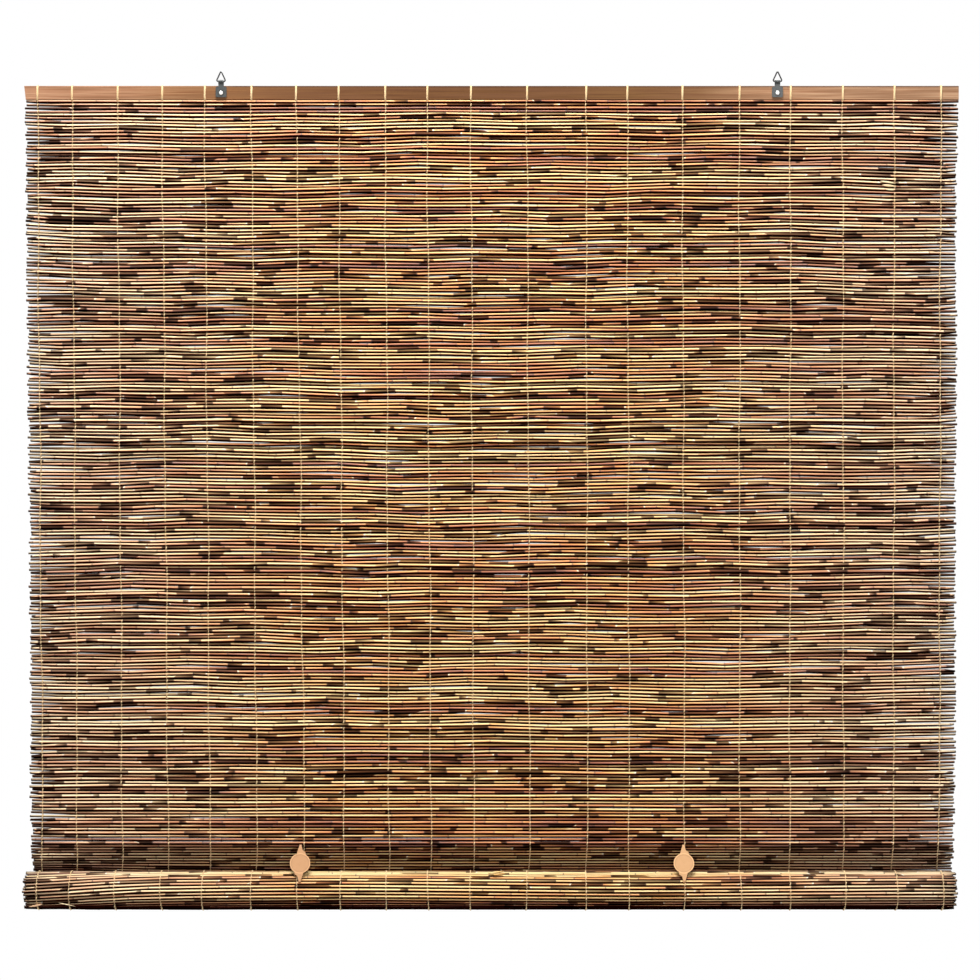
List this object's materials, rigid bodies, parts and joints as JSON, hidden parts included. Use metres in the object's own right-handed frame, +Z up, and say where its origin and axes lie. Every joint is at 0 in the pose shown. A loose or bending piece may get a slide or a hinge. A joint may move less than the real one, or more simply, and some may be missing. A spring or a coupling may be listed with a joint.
{
  "type": "reed roll-up blind",
  "caption": "Reed blind woven with cream twines on a bamboo header lath with two ring hangers, its lower end rolled up by hand and held by two round-bodied hooks.",
  "frame": {"origin": "middle of the hanging line, the straight line through the inner tips of both hanger rings, at mid-width of the header lath", "axes": "+X along the header lath to the viewer's right, -Y out of the front that faces the room, +Z up"},
  "size_m": [1.2041, 0.0538, 1.0807],
  "materials": {
    "bamboo_lath": "split bamboo, planed and lightly oiled",
    "reed": "dried reed stems, waxy yellow to brown, with grey-brown sheaths",
    "twine": "twisted cream cotton twine",
    "strap_steel": "black oxide on stamped strip steel",
    "ring_wire": "black lacquer on bent wire",
    "screw_zinc": "bright zinc plate",
    "hook_plate": "tan lacquer on stamped sheet"
  },
  "bodies": {
    "blind": {"header_slat": "bamboo_lath", "hanger_strap_left": "strap_steel", "hanger_strap_right": "strap_steel", "hanger_screw_left": "screw_zinc", "hanger_screw_right": "screw_zinc", "reed_mat": "reed", "warp_twine_01": "twine", "warp_twine_02": "twine", "warp_twine_03": "twine", "warp_twine_04": "twine", "warp_twine_05": "twine", "warp_twine_06": "twine", "warp_twine_07": "twine", "warp_twine_08": "twine", "warp_twine_09": "twine", "warp_twine_10": "twine", "warp_twine_11": "twine", "warp_twine_12": "twine", "warp_twine_13": "twine", "warp_twine_14": "twine", "warp_twine_15": "twine", "warp_twine_16": "twine", "warp_twine_17": "twine", "warp_twine_18": "twine", "warp_twine_19": "twine", "warp_twine_20": "twine"},
    "ring_left": {"hanger_ring_left": "ring_wire"},
    "ring_right": {"hanger_ring_right": "ring_wire"},
    "roll": {"reed_sling": "reed", "reed_roll": "reed", "hook_left": "hook_plate", "hook_right": "hook_plate", "roll_twine_01": "twine", "roll_twine_02": "twine", "roll_twine_03": "twine", "roll_twine_04": "twine", "roll_twine_05": "twine", "roll_twine_06": "twine", "roll_twine_07": "twine", "roll_twine_08": "twine", "roll_twine_09": "twine", "roll_twine_10": "twine", "roll_twine_11": "twine", "roll_twine_12": "twine", "roll_twine_13": "twine", "roll_twine_14": "twine", "roll_twine_15": "twine", "roll_twine_16": "twine", "roll_twine_17": "twine", "roll_twine_18": "twine", "roll_twine_19": "twine", "roll_twine_20": "twine"}
  },
  "joints": [
    {"name": "roll_lift", "type": "slide", "parent": "blind", "child": "roll", "axis": [0, 0, 1], "range_m": [0, 0.9], "deforming": ["reed_mat", "warp_twine_01", "warp_twine_02", "warp_twine_03", "warp_twine_04", "warp_twine_05", "warp_twine_06", "warp_twine_07", "warp_twine_08", "warp_twine_09", "warp_twine_10", "warp_twine_11", "warp_twine_12", "warp_twine_13", "warp_twine_14", "warp_twine_15", "warp_twine_16", "warp_twine_17", "warp_twine_18", "warp_twine_19", "warp_twine_20"]},
    {"name": "ring_left_swing", "type": "hinge", "parent": "blind", "child": "ring_left", "pos_m": [-0.347, 0, -0.01112], "axis": [1, 0, 0], "range_deg": [-120, 160]},
    {"name": "ring_right_swing", "type": "hinge", "parent": "blind", "child": "ring_right", "pos_m": [0.367, 0, -0.01112], "axis": [1, 0, 0], "range_deg": [-120, 160]}
  ]
}
